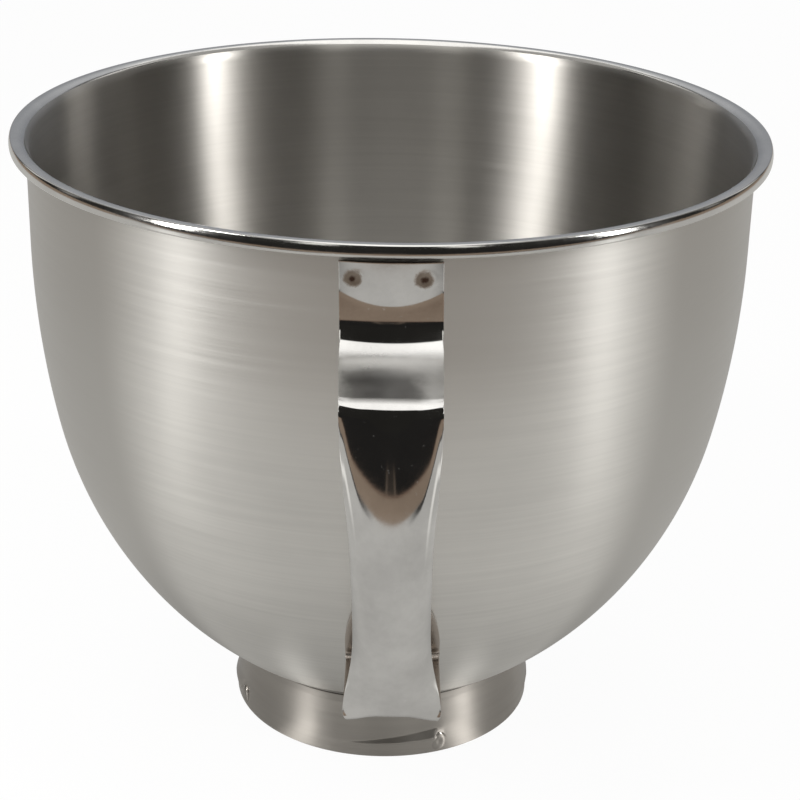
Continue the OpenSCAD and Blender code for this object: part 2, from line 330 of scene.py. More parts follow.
def build_foot(metal):
    """The foot ring with its pressed lugs and round stops."""
    bm = spin_section(foot_section(), 720, True)
    for vert in bm.verts:
        radius = math.hypot(vert.co.x, vert.co.y)
        z = vert.co.z / MM
        if z > 12.5 or radius < (foot_radius(z) - FOOT_T - 0.05) * MM:
            continue
        angle = math.degrees(math.atan2(vert.co.x, -vert.co.y))
        bulge = lug_bulge(angle, z) * MM
        if radius < (foot_radius(z) - 0.7) * MM and z < FOOT_T + 0.1:
            bulge = 0
        share = (radius + bulge) / radius
        vert.co.x *= share
        vert.co.y *= share
    for k in range(LUGS):
        add_stop(bm, math.radians(360 / LUGS * k + LUG_ARC / 2 - 0.2))
    piece = new_piece("foot_ring", bm, metal)
    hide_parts("base_ring")
    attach(piece, "root")
    return piece


def bend_points(corner, radius, before, after):
    """Points of a bend at a corner, from one direction into the next."""
    turn = math.atan2(before.x * after.y - before.y * after.x, before.dot(after))
    side = 1 if turn > 0 else -1
    start = corner - before * radius * math.tan(abs(turn) / 2)
    centre = start + side * radius * Vector((-before.y, before.x))
    arm = start - centre
    steps = 40
    return [centre + Matrix.Rotation(turn * k / steps, 2) @ arm for k in range(steps + 1)]


def strap_path():
    """The strap's visible face in the plane (out, up), and where its parts begin."""
    plate_out = WALL_R + WELD_GAP + STRAP_T
    wall_off = BELLY_R + WELD_GAP
    tab_angle = math.asin((BELLY_CZ - TAB_LOW) / wall_off)
    tab_start = Vector((BELLY_CR + wall_off * math.cos(tab_angle), TAB_LOW))
    down = Vector((0, -1))
    ledge_corner = Vector((plate_out, LEDGE_Z))
    brow = Vector((LEDGE_OUT, LEDGE_Z - (LEDGE_OUT - plate_out) * math.tan(LEDGE_SLOPE)))
    ledge = (brow - ledge_corner).normalized()
    grip_top = Vector((math.sin(GRIP_TOP), -math.cos(GRIP_TOP)))
    grip_foot = Vector((-math.sin(GRIP_FOOT), -math.cos(GRIP_FOOT)))
    leg = Vector((-math.cos(LEG_TILT), -math.sin(LEG_TILT)))
    tab = Vector((math.sin(tab_angle), math.cos(tab_angle)))
    turn = math.pi / 2 + tab_angle + LEG_TILT
    tab_corner = tab_start - tab * TAB_BEND * math.tan(turn / 2)
    fold = Vector((FOLD_OUT, tab_corner.y + (FOLD_OUT - tab_corner.x) * math.tan(LEG_TILT)))
    bend = bend_points(ledge_corner, BEND_R, down, ledge)
    brow_bend = bend_points(brow, BROW_R, ledge, grip_top)
    fold_bend = bend_points(fold, FOLD_R, grip_foot, leg)
    tab_bend = bend_points(tab_corner, TAB_BEND, leg, tab)
    a = brow_bend[-1]
    d = fold_bend[0]
    pull = (d - a).length * 0.36
    b = a + grip_top * pull
    c = d - grip_foot * pull
    grip = []
    for k in range(1, 200):
        t = k / 200
        u = 1 - t
        grip.append(a * u ** 3 + b * 3 * u * u * t + c * 3 * u * t * t + d * t ** 3)
    rest = []
    for k in range(1, 60):
        angle = tab_angle - TAB_LEN / wall_off * k / 59
        rest.append(Vector((BELLY_CR + wall_off * math.cos(angle),
                            BELLY_CZ - wall_off * math.sin(angle))))
    parts = [[Vector((plate_out, PLATE_TOP))], bend, brow_bend, grip, fold_bend, tab_bend, rest]
    points = []
    marks = []
    length = 0.0
    for part in parts:
        for index, point in enumerate(part):
            if points:
                length += (point - points[-1][1]).length
            points.append((length, point))
            if index == 0:
                first = length
        marks.append((first, length))
    return points, marks


PATH, MARKS = strap_path()
LEDGE_FROM = MARKS[1][1]
BROW_FROM, GRIP_FROM = MARKS[2]
GRIP_TO = MARKS[4][0]
FOLD_AT = sum(MARKS[4]) / 2
TAB_FROM, TAB_ON = MARKS[5]
TOTAL = MARKS[6][1]


def path_point(distance):
    """Point and direction of the path at a distance along it."""
    low = 0
    high = len(PATH) - 1
    while high - low > 1:
        middle = (low + high) // 2
        if PATH[middle][0] <= distance:
            low = middle
        else:
            high = middle
    step = PATH[high][0] - PATH[low][0]
    share = (distance - PATH[low][0]) / step if step > 1e-9 else 0.0
    point = PATH[low][1].lerp(PATH[high][1], min(1.0, max(0.0, share)))
    return point, (PATH[high][1] - PATH[low][1]).normalized()


def path_tangent(distance):
    """Smooth direction of the path, taken over a short stretch."""
    before = path_point(max(0.0, distance - 0.25))[0]
    after = path_point(min(TOTAL, distance + 0.25))[0]
    return (after - before).normalized()


def grip_share(d):
    """Place along the grip, zero below the brow and one at the fold."""
    return (d - GRIP_FROM) / (GRIP_TO - GRIP_FROM)


def roll_share(d):
    """Share of the full edge roll: none on the plate, full at the waist, none at the fold."""
    late = max(0.0, (grip_share(d) - OPEN_FROM) / (1 - OPEN_FROM))
    past = d - BROW_FROM - ROLL_STARTS
    if past < 0 or late > 1:
        return 0.0
    share = 1 - math.exp(-(past / ROLL_LENGTH) ** ROLL_POWER)
    return share * (1 - late ** OPEN_POWER)


def wrap_share(d, tangent):
    """Share of the wrap round the bowl: full on the plate and the tab."""
    if d < BROW_FROM:
        turned = math.degrees(math.atan2(tangent.x, -tangent.y))
        return 1 - smooth_step(turned / 60)
    return smooth_step((d - TAB_FROM + 4) / (TAB_ON - TAB_FROM + 4))


def half_width(d):
    """Half width of the strap: a little less at the brow, rounded at the fold and the tab."""
    half = STRAP_W / 2
    corner = math.exp(-((d - FOLD_AT - 0.2) / 2.0) ** 2)
    narrow = smooth_step((d - LEDGE_FROM) / (BROW_FROM - LEDGE_FROM))
    narrow *= 1 - smooth_step((d - GRIP_FROM) / 22)
    past = TAB_ROUND - (TOTAL - d)
    if past > 0:
        return half * max(0.2, math.sqrt(max(0.0, 1 - (past / TAB_ROUND) ** 2 * 0.97)))
    return half * (1 - BROW_NARROW * narrow) - corner


def cross_section(half, roll, crown, edge_r):
    """Place across the strap for any distance from its middle line, and the drop there."""
    flat = half - edge_r * max(0.0, roll - crown) - EDGE_END
    steps = 96
    table = [(0.0, 0.0)]
    x = 0.0
    drop = 0.0
    for k in range(steps):
        s = half * (k + 0.5) / steps
        if s < flat:
            turn = crown * s / flat
        else:
            turn = min(roll, crown + (s - flat) / edge_r)
        x += math.cos(turn) * half / steps
        drop += math.sin(turn) * half / steps
        table.append((x, drop))

    def place(share):
        position = min(0.9999, abs(share)) * steps
        low = int(position)
        (x0, z0), (x1, z1) = table[low], table[low + 1]
        part = position - low
        side = -1 if share < 0 else 1
        return side * (x0 + (x1 - x0) * part), -(z0 + (z1 - z0) * part)

    return place


def pressed_marks(x, z, d, s):
    """Relief of the visible face: seat line, spot welds, pleats beside the brow, soft waves."""
    dent = 0.0
    if d < 22:
        seat = z - PLATE_SEAT - 3.7 * (x / (STRAP_W / 2)) ** 2
        dent += soft_max(seat, 0.5) * PLATE_TILT
    if d < 17:
        for mx, mz in WELD_MARKS:
            away = math.hypot(x - mx - SHIFT, z - mz)
            dent -= 0.05 * math.exp(-(away / 1.3) ** 4)
            dent += 0.012 * math.exp(-((away - 2.0) / 0.6) ** 2)
    side = abs(s) / (STRAP_W / 2)
    if side > 0.45:
        fade = smooth_step((side - 0.45) / 0.35)
        slant = d - BROW_FROM - ROLL_STARTS + (side - 0.7) * 5
        wave = sum(deep * math.exp(-((slant - at) / wide) ** 2) for at, wide, deep in PLEATS)
        dent -= wave * fade * (1 - smooth_step((side - 0.93) / 0.07) * 0.5)
    dent += 0.02 * math.sin(d * 0.21 + 1.3) * math.cos(s * 0.23 + d * 0.05)
    return dent


def strap_station(share):
    """Distance along the strap for a share of the rows, closer together in the bends."""
    stops = ((0.0, 0.0), (0.2, LEDGE_FROM + 1), (0.27, BROW_FROM - 2), (0.4, GRIP_FROM + 3),
             (0.74, GRIP_TO - 6), (0.84, FOLD_AT + 5), (0.9, TAB_FROM - 1), (0.95, TAB_ON + 1),
             (1.0, TOTAL))
    for (a, start), (b, end) in zip(stops, stops[1:]):
        if share <= b + 1e-9:
            return start + (end - start) * (share - a) / (b - a)
    return TOTAL


def strap_row(share_along):
    """A function that places the points of one row across the strap's visible face."""
    d = strap_station(share_along)
    point = path_point(d)[0]
    tangent = path_tangent(d)
    normal = Vector((-tangent.y, tangent.x))
    half = half_width(d)
    share = roll_share(d)
    ease = smooth_step(grip_share(d) / OPEN_FROM)
    roll = max((EDGE_TURN - TURN_EASE * ease) * share, 1e-4)
    crown = min(CROWN * math.tanh(share / CROWN_EASE), roll * 0.9)
    section = cross_section(half, roll, crown, EDGE_R + EDGE_EASE * ease)
    near = max(0.0, 1 - ((d - FOLD_AT) / 10) ** 2)
    wrap = wrap_share(d, tangent)

    def place(share_across):
        across = 2 * share_across - 1
        x, height = section(across)
        height += pressed_marks(x, point.y, d, half * across)
        spot = point + normal * height
        lift = FOLD_ARCH * (1 - smooth_step((abs(x) / half - 0.3) / 0.7)) * near * near
        aside = x + SHIFT + (PLATE_TOP - spot.y) * LEAN
        angle = aside / spot.x
        out = spot.x * (1 - wrap + wrap * math.cos(angle))
        wide = aside * (1 - wrap) + spot.x * math.sin(angle) * wrap
        return Vector((wide, -out, spot.y + lift)) * MM

    return place


def build_handle(metal):
    """The strap handle: a grid laid along the path, thickened, with its edges rounded."""
    bm = bmesh.new()
    bmesh.ops.create_grid(bm, x_segments=64, y_segments=420, size=0.5)
    rows = {}
    for vert in bm.verts:
        along = round(0.5 - vert.co.y, 6)
        if along not in rows:
            rows[along] = strap_row(along)
        vert.co = rows[along](vert.co.x + 0.5)
    bmesh.ops.recalc_face_normals(bm, faces=bm.faces)
    bm.faces.ensure_lookup_table()
    plate_middle = Vector((0, -0.105, 0.17))
    plate_face = min(bm.faces, key=lambda f: (f.calc_center_median() - plate_middle).length)
    if plate_face.normal.y > 0:
        bmesh.ops.reverse_faces(bm, faces=bm.faces)
    piece = new_piece("strap_handle", bm, metal)
    wall = piece.modifiers.new("strap_wall", "SOLIDIFY")
    wall.thickness = STRAP_T * MM
    wall.offset = -1.0
    wall.use_even_offset = False
    edge = piece.modifiers.new("strap_edge", "BEVEL")
    edge.width = 0.5 * MM
    edge.segments = 3
    edge.limit_method = "ANGLE"
    edge.angle_limit = math.radians(50)
    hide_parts("handle")
    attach(piece, "root")
    return piece


CREVICE_Z = (BELLY_CZ - math.sqrt((BELLY_R + WELD_GAP) ** 2
                                  - (FOOT_R - FOOT_DRAW - BELLY_CR) ** 2)) * MM

# Places of the finishes and of the painted light and shade, in metres; ahead is the distance from
# the axis toward the handle
NECK_Z = CREVICE_Z + 0.006
WALL_LIT = (0.105, 0.178)
LEDGE_AHEAD = (0.1075, 0.1275)
LEDGE_RISE = (0.1505, 0.158)
BLOTCH_RISE = (0.1512, 0.158)
INNER_AHEAD = (0.06, 0.1165)
INNER_RISE = (0.04, 0.08)

# Steel tones away from the plain ones, with painted shade and painted light among them
# Painted shade above the foot, painted light in front and painted shade at the flanks of the outer
# wall.
NECK_SHADE_TONE = (0.30, 0.295, 0.28, 1)
FRONT_LIGHT_TONE = (0.98, 0.97, 0.94, 1)
FLANK_SHADE_TONE = (0.54, 0.53, 0.51, 1)
# Painted shade in the crevice between the foot ring and the belly.
CREVICE_SHADE_TONE = (0.03, 0.024, 0.02, 1)
STRAP_DARK = (0.58, 0.575, 0.565, 1)
STRAP_LIGHT = (0.69, 0.685, 0.675, 1)
HEAT_TINT = (0.25, 0.19, 0.14, 1)
BURNT_TONE = (0.06, 0.03, 0.02, 1)
# Painted brown shade on the strap's inner faces behind the grip.
INNER_SHADE_TONE = (0.36, 0.29, 0.23, 1)
BLOTCH_TONE = (0.16, 0.155, 0.15, 1)
CLEAR_ROUGH = 0.14
SHEEN_SHARE = 0.6


class Nodes:
    """Short way to add and join shader nodes."""

    def __init__(self, tree, fresh=True):
        self.tree = tree
        if fresh:
            tree.nodes.clear()

    def add(self, kind, **settings):
        node = self.tree.nodes.new(kind)
        for key, value in settings.items():
            setattr(node, key, value)
        return node

    def join(self, source, target):
        self.tree.links.new(source, target)

    def set_or_join(self, socket, value):
        if isinstance(value, bpy.types.NodeSocket):
            self.join(value, socket)
        elif value is not None:
            socket.default_value = value

    def math(self, operation, a, b=None, c=None):
        node = self.add("ShaderNodeMath", operation=operation)
        for socket, value in zip(node.inputs, (a, b, c)):
            self.set_or_join(socket, value)
        return node.outputs[0]

    def times(self, first, *others):
        """Product of several masks."""
        for other in others:
            first = self.math("MULTIPLY", first, other)
        return first

    def length(self, a, b):
        """Length of the hypotenuse over two sides."""
        return self.math("SQRT", self.math("ADD", self.times(a, a), self.times(b, b)))

    def remap(self, value, low, high, to_low, to_high, smooth=False):
        node = self.add("ShaderNodeMapRange")
        node.interpolation_type = "SMOOTHSTEP" if smooth else "LINEAR"
        for socket, item in zip(node.inputs, (value, low, high, to_low, to_high)):
            self.set_or_join(socket, item)
        return node.outputs[0]

    def band(self, value, limits, soft):
        """One between the two limits, zero outside, with soft edges."""
        start, stop = limits
        rise = self.remap(value, start - soft, start + soft, 0.0, 1.0, True)
        fall = self.remap(value, stop - soft, stop + soft, 1.0, 0.0, True)
        return self.times(rise, fall)

    def noise(self, vector, scale, detail=3.0, rough=0.5):
        node = self.add("ShaderNodeTexNoise")
        self.join(vector, node.inputs["Vector"])
        node.inputs["Scale"].default_value = scale
        node.inputs["Detail"].default_value = detail
        node.inputs["Roughness"].default_value = rough
        return node.outputs["Fac"]

    def split(self, vector):
        """The three parts of a vector."""
        node = self.add("ShaderNodeSeparateXYZ")
        self.join(vector, node.inputs[0])
        return node.outputs

    def combine(self, x, y, z):
        node = self.add("ShaderNodeCombineXYZ")
        for socket, value in zip(node.inputs, (x, y, z)):
            self.set_or_join(socket, value)
        return node.outputs[0]

    def mix(self, share, a, b):
        node = self.add("ShaderNodeMix", data_type="RGBA")
        self.set_or_join(node.inputs["Factor"], share)
        self.set_or_join(node.inputs[6], a)
        self.set_or_join(node.inputs[7], b)
        return node.outputs[2]

    def blend(self, share, first, second):
        """Mix of two shaders."""
        node = self.add("ShaderNodeMixShader")
        for socket, value in zip(node.inputs, (share, first.outputs[0], second.outputs[0])):
            self.set_or_join(socket, value)
        return node

    def glow(self, kind, color):
        """An emission or background shader of one colour, plain or from a node."""
        node = self.add(kind)
        self.set_or_join(node.inputs[0], color)
        return node

    def bump(self, height, distance, strength, below=None):
        node = self.add("ShaderNodeBump")
        node.inputs["Strength"].default_value = strength
        node.inputs["Distance"].default_value = distance
        self.join(height, node.inputs["Height"])
        if below is not None:
            self.join(below, node.inputs["Normal"])
        return node.outputs[0]


def metal_start(name):
    """A new material with its node helper, shader and object coordinates."""
    material = bpy.data.materials.new(name)
    material.use_nodes = True
    nodes = Nodes(material.node_tree)
    shader = nodes.add("ShaderNodeBsdfPrincipled")
    out = nodes.add("ShaderNodeOutputMaterial")
    nodes.join(shader.outputs[0], out.inputs[0])
    shader.inputs["Metallic"].default_value = 1.0
    coords = nodes.add("ShaderNodeTexCoord").outputs["Object"]
    return material, nodes, shader, coords


def shades_of(color, darker, lighter):
    """A darker and a lighter shade of one colour."""
    dark = tuple(c * darker for c in color) + (1.0,)
    light = tuple(min(1.0, c * lighter) for c in color) + (1.0,)
    return dark, light


def around_axis(nodes, coords, around, along):
    """Pattern space that runs in circles round the bowl's axis."""
    x, y, z = nodes.split(coords)
    radius = nodes.math("MAXIMUM", nodes.length(x, y), 0.0005)
    turn_x = nodes.times(nodes.math("DIVIDE", x, radius), around)
    turn_y = nodes.times(nodes.math("DIVIDE", y, radius), around)
    level = nodes.times(nodes.math("ADD", radius, z), along)
    return nodes.combine(turn_x, turn_y, level)


def painted_wall_shading(nodes, coords, tinted, neck_shade):
    """Painted light and shade on the outer wall: painted light high in front, painted shade at the
    flanks and close above the foot.
    """
    x, y, z = nodes.split(coords)
    # Painted shade close above the foot.
    low = nodes.remap(z, NECK_Z, NECK_Z + 0.0006, neck_shade, 0.0, True)
    tinted = nodes.mix(low, tinted, NECK_SHADE_TONE)
    flat = nodes.add("ShaderNodeVectorMath", operation="NORMALIZE")
    nodes.join(nodes.combine(x, y, 0.0), flat.inputs[0])
    side = nodes.math("ABSOLUTE", nodes.split(flat.outputs[0])[0])
    # Painted light high in front.
    front = nodes.times(nodes.remap(side, 0.2, 0.5, 1.0, 0.0, True),
                        nodes.remap(z, WALL_LIT[0], WALL_LIT[1], 0.0, 1.0))
    tinted = nodes.mix(front, tinted, FRONT_LIGHT_TONE)
    # Painted shade at the flanks.
    flank = nodes.remap(side, 0.6, 0.74, 0.0, 0.9, True)
    return nodes.mix(flank, tinted, FLANK_SHADE_TONE)


def brushed_metal(name, color, rough, rough_spread, spin_share, line_depth, neck_shade=0.0):
    """Satin steel brushed in circles round the axis; the outer wall gets painted light and shade
    as well.
    """
    material, nodes, shader, coords = metal_start(name)
    fine = around_axis(nodes, coords, 1.6, 5200.0)
    broad = around_axis(nodes, coords, 1.3, 700.0)
    lines = nodes.noise(fine, 1.0, 2.0, 0.6)
    bands = nodes.noise(broad, 1.0, 3.0, 0.6)
    cloud = nodes.noise(coords, 28.0, 3.0, 0.55)
    tone = nodes.math("MULTIPLY_ADD", bands, 0.5, nodes.times(cloud, 0.5))
    dark, light = shades_of(color, 0.94, 1.05)
    tinted = nodes.mix(nodes.remap(tone, 0.35, 0.65, 0.0, 1.0), dark, light)
    # Painted light and shade on the outer wall.
    if neck_shade:
        tinted = painted_wall_shading(nodes, coords, tinted, neck_shade)
    nodes.join(tinted, shader.inputs["Base Color"])
    mixed = nodes.math("MULTIPLY_ADD", lines, 0.6, nodes.times(bands, 0.4))
    nodes.join(nodes.remap(mixed, 0.3, 0.7, rough - rough_spread, rough + rough_spread),
               shader.inputs["Roughness"])
    shader.inputs["Anisotropic"].default_value = spin_share
    shader.inputs["Anisotropic Rotation"].default_value = 0.25
    tangent = nodes.add("ShaderNodeTangent", direction_type="RADIAL", axis="Z")
    nodes.join(tangent.outputs[0], shader.inputs["Tangent"])
    nodes.join(nodes.bump(lines, line_depth, 0.3), shader.inputs["Normal"])
    return material


def polished_metal(name, color, rough, rough_spread):
    """Polished steel with faint clouds, fine rubs and tiny pits."""
    material, nodes, shader, coords = metal_start(name)
    cloud = nodes.noise(coords, 60.0, 4.0, 0.6)
    fine = nodes.noise(coords, 900.0, 2.0, 0.5)
    dark, light = shades_of(color, 0.93, 1.04)
    nodes.join(nodes.mix(nodes.remap(cloud, 0.35, 0.65, 0.0, 1.0), dark, light),
               shader.inputs["Base Color"])
    mixed = nodes.math("MULTIPLY_ADD", fine, 0.4, nodes.times(cloud, 0.6))
    nodes.join(nodes.remap(mixed, 0.3, 0.7, rough - rough_spread, rough + rough_spread),
               shader.inputs["Roughness"])
    wave = nodes.bump(cloud, 0.00025, 0.25)
    nodes.join(nodes.bump(fine, 0.00001, 0.3, wave), shader.inputs["Normal"])
    return material


def half_polished(name, color, rough, rough_spread, spin_share, line_depth):
    """Brushed steel half buffed away: a clear reflection with a brushed sheen over it, and painted
    shade in the crevice.
    """
    material = brushed_metal(name, color, rough, rough_spread, spin_share, line_depth)
    nodes = Nodes(material.node_tree, fresh=False)
    brushed = next(node for node in nodes.tree.nodes if node.type == "BSDF_PRINCIPLED")
    out = next(node for node in nodes.tree.nodes if node.type == "OUTPUT_MATERIAL")
    clear = nodes.add("ShaderNodeBsdfPrincipled")
    clear.inputs["Metallic"].default_value = 1.0
    clear.inputs["Roughness"].default_value = CLEAR_ROUGH
    base = brushed.inputs["Base Color"].links[0].from_socket
    z = nodes.split(nodes.add("ShaderNodeTexCoord").outputs["Object"])[2]
    # Painted shade on the foot ring's top edge, in the crevice under the belly.
    crevice_shade = nodes.remap(z, CREVICE_Z - 0.0004, CREVICE_Z - 0.0001, 0.0, 0.9)
    base = nodes.mix(crevice_shade, base, CREVICE_SHADE_TONE)
    nodes.join(base, brushed.inputs["Base Color"])
    nodes.join(base, clear.inputs["Base Color"])
    nodes.join(nodes.blend(SHEEN_SHARE, clear, brushed).outputs[0], out.inputs[0])
    return material


def weld_tints(nodes, coords, x, y, z):
    """Two masks for the spot welds: the heat-tinted ring and the burnt middle."""
    wander = nodes.math("SUBTRACT", nodes.noise(coords, 900.0, 3.0, 0.6), 0.5)
    rings = []
    middles = []
    for mark_x, mark_z in WELD_MARKS:
        away = nodes.length(nodes.math("SUBTRACT", x, (mark_x + SHIFT) * MM),
                            nodes.math("SUBTRACT", z, mark_z * MM))
        away = nodes.math("MULTIPLY_ADD", wander, 0.0014, away)
        rings.append(nodes.remap(away, 0.0016, 0.0027, 1.0, 0.0, True))
        middles.append(nodes.remap(away, 0.0004, 0.0012, 1.0, 0.0, True))
    front = nodes.remap(y, -0.1035, -0.1045, 0.0, 1.0)
    ring = nodes.times(nodes.math("MAXIMUM", *rings), front)
    middle = nodes.times(nodes.math("MAXIMUM", *middles), front)
    return ring, middle


def ledge_blotch(nodes, x, ahead, z, cloud):
    """Mask of the dull dark patch on the outer half of the ledge."""
    edge = nodes.math("MULTIPLY_ADD", cloud, 0.012, nodes.math("ABSOLUTE", x))
    return nodes.times(nodes.remap(edge, 0.013, 0.019, 0.7, 0.0, True),
                       nodes.remap(ahead, 0.114, 0.119, 0.0, 1.0, True),
                       nodes.band(z, BLOTCH_RISE, 0.0004),
                       nodes.remap(ahead, 0.127, 0.1285, 1.0, 0.0, True))


def handle_metal():
    """Polished strap steel: heat-tinted spot welds, a dulled ledge and painted brown shade on the
    inner faces.
    """
    material, nodes, shader, coords = metal_start("polished_strap")
    cloud = nodes.noise(coords, 70.0, 4.0, 0.6)
    fine = nodes.noise(coords, 1200.0, 2.0, 0.5)
    x, y, z = nodes.split(coords)
    ahead = nodes.times(y, -1.0)
    tint, burnt = weld_tints(nodes, coords, x, y, z)
    inner = nodes.times(nodes.band(ahead, INNER_AHEAD, 0.001), nodes.band(z, INNER_RISE, 0.004))
    base = nodes.mix(nodes.remap(cloud, 0.35, 0.65, 0.0, 1.0), STRAP_DARK, STRAP_LIGHT)
    base = nodes.mix(nodes.times(tint, 0.8), base, HEAT_TINT)
    base = nodes.mix(nodes.times(burnt, 0.92), base, BURNT_TONE)
    # Painted brown shade on the strap's inner faces behind the grip.
    base = nodes.mix(nodes.times(inner, 0.65), base, INNER_SHADE_TONE)
    base = nodes.mix(ledge_blotch(nodes, x, ahead, z, cloud), base, BLOTCH_TONE)
    nodes.join(base, shader.inputs["Base Color"])
    dust = nodes.remap(nodes.noise(coords, 900.0, 1.0, 0.4), 0.73, 0.80, 0.0, 0.10)
    nodes.join(nodes.math("SUBTRACT", 1.0, dust), shader.inputs["Metallic"])
    mixed = nodes.math("MULTIPLY_ADD", fine, 0.35, nodes.times(cloud, 0.65))
    rough = nodes.math("MULTIPLY_ADD", tint, 0.28, nodes.remap(mixed, 0.3, 0.7, 0.05, 0.11))
    ledge = nodes.times(nodes.band(ahead, LEDGE_AHEAD, 0.0015), nodes.band(z, LEDGE_RISE, 0.0004))
    dull = nodes.times(ledge, nodes.remap(cloud, 0.38, 0.62, 0.22, 0.30))
    dull = nodes.math("MULTIPLY_ADD", inner, 0.22, dull)
    nodes.join(nodes.math("ADD", rough, dull), shader.inputs["Roughness"])
    wave = nodes.bump(cloud, 0.0002, 0.05)
    nodes.join(nodes.bump(fine, 0.000008, 0.2, wave), shader.inputs["Normal"])
    return material


# What lies round the bowl in its reflections: pale paper, a brown table, then a dark room
PAPER_TONE = (0.58, 0.57, 0.545)
BROWN_TONE = (0.30, 0.23, 0.175, 1)
RAIL_TONE = (0.15, 0.075, 0.05, 1)
DARK_TONE = (0.019, 0.018, 0.017, 1)
PAPER_EDGE = 0.397
TABLE_EDGE = 0.57
POOL_BEARINGS = (56.0, 66.0)
FOOT_GLOW = (31.0, 42.0)
WHITE = (1, 1, 1, 1)


def bearing_of(nodes, x, y):
    """Unsigned angle from the camera's side, in degrees."""
    angle = nodes.math("ARCTAN2", x, nodes.times(y, -1.0))
    return nodes.times(nodes.math("ABSOLUTE", angle), 180 / math.pi)


def paper_light(nodes, away, bearing):
    """How brightly the paper shows in the metal: dim near the foot, two bright pools aside."""
    near = nodes.remap(away, 0.05, 0.16, 0.6, 1.0, True)
    pool = nodes.times(nodes.band(bearing, POOL_BEARINGS, 4.0),
                       nodes.remap(away, 0.19, 0.28, 0.0, 0.9, True),
                       nodes.remap(away, 0.5, 0.7, 1.0, 0.2, True))
    glow = nodes.times(nodes.band(bearing, FOOT_GLOW, 6.0),
                       nodes.remap(away, 0.062, 0.078, 1.6, 0.0, True))
    return nodes.times(near, nodes.math("ADD", nodes.math("ADD", pool, glow), 1.0))


def floor_material():
    """Pale paper: white where the camera sees it, and the table's zones in reflections."""
    material = bpy.data.materials.new("paper_floor")
    material.use_nodes = True
    nodes = Nodes(material.node_tree)
    out = nodes.add("ShaderNodeOutputMaterial")
    path = nodes.add("ShaderNodeLightPath")
    x, y, z = nodes.split(nodes.add("ShaderNodeTexCoord").outputs["Object"])
    ahead = nodes.times(y, -1.0)
    aside = nodes.math("ABSOLUTE", x)
    scale = nodes.add("ShaderNodeVectorMath", operation="SCALE")
    scale.inputs[0].default_value = PAPER_TONE
    nodes.join(paper_light(nodes, nodes.length(x, y), bearing_of(nodes, x, y)),
               scale.inputs["Scale"])
    seen = scale.outputs[0]
    edge = nodes.remap(ahead, PAPER_EDGE - 0.004, PAPER_EDGE + 0.004, 0.0, 1.0, True)
    seen = nodes.mix(edge, seen, BROWN_TONE)
    rail = nodes.band(ahead, (TABLE_EDGE - 0.022, TABLE_EDGE + 0.02), 0.006)
    seen = nodes.mix(nodes.times(rail, 0.5), seen, RAIL_TONE)
    # Painted shadow: a dark strip on the paper just before its edge, out to the sides.
    under = nodes.times(nodes.band(ahead, (PAPER_EDGE - 0.034, PAPER_EDGE), 0.005),
                        nodes.remap(aside, 0.09, 0.17, 0.0, 0.95, True))
    seen = nodes.mix(under, seen, DARK_TONE)
    dark = nodes.remap(ahead, TABLE_EDGE - 0.015, TABLE_EDGE + 0.015, 0.0, 1.0, True)
    seen = nodes.mix(dark, seen, DARK_TONE)
    leg = nodes.math("MULTIPLY_ADD", nodes.band(aside, (0.026, 0.042), 0.006), 0.3,
                     nodes.remap(aside, 0.036, 0.044, 0.1, 0.0, True))
    leg = nodes.times(dark, leg, nodes.remap(ahead, TABLE_EDGE + 0.02, 1.1, 1.0, 0.0, True))
    seen = nodes.mix(leg, seen, BROWN_TONE)
    side = nodes.times(nodes.remap(aside, 0.9, 1.1, 0.0, 1.0, True),
                       nodes.remap(ahead, 0.25, 0.35, 1.0, 0.0, True))
    seen = nodes.mix(side, seen, BROWN_TONE)
    paper = nodes.add("ShaderNodeBsdfDiffuse")
    paper.inputs[0].default_value = (0.95, 0.95, 0.95, 1)
    white = nodes.glow("ShaderNodeEmission", WHITE)
    to_camera = nodes.blend(nodes.times(path.outputs["Is Camera Ray"], 0.95), paper, white)
    to_metal = nodes.blend(path.outputs["Is Glossy Ray"], to_camera,
                           nodes.glow("ShaderNodeEmission", seen))
    nodes.join(to_metal.outputs[0], out.inputs[0])
    return material


def build_stage():
    """Pale floor under the bowl."""
    bm = bmesh.new()
    bmesh.ops.create_circle(bm, cap_ends=True, cap_tris=False, segments=96, radius=6.0)
    for vert in bm.verts:
        vert.co.z = -0.0002
    floor = new_piece("floor", bm, floor_material())


# The room in reflections: colours, and bearings from the camera's side in degrees
ROOM_TONE = (0.021, 0.020, 0.018, 1)
SHOULDER = ((17.0, 27.0), 1.5, (1.2, 1.18, 1.12, 1))
STRIPS = (((101.0, 109.0), 2.0, (0.32, 0.31, 0.29, 1)),
          ((122.0, 134.0), 3.0, (0.9, 0.88, 0.85, 1)))
BACK_LOW = (0.27, 0.28, 0.30, 1)
BACK_MIDDLE = (0.75, 0.76, 0.78, 1)
BACK_HIGH = (1.3, 1.29, 1.26, 1)
CEILING_TONE = (0.45, 0.44, 0.42, 1)
CEILING_BOX = (1.5, 1.48, 1.44, 1)


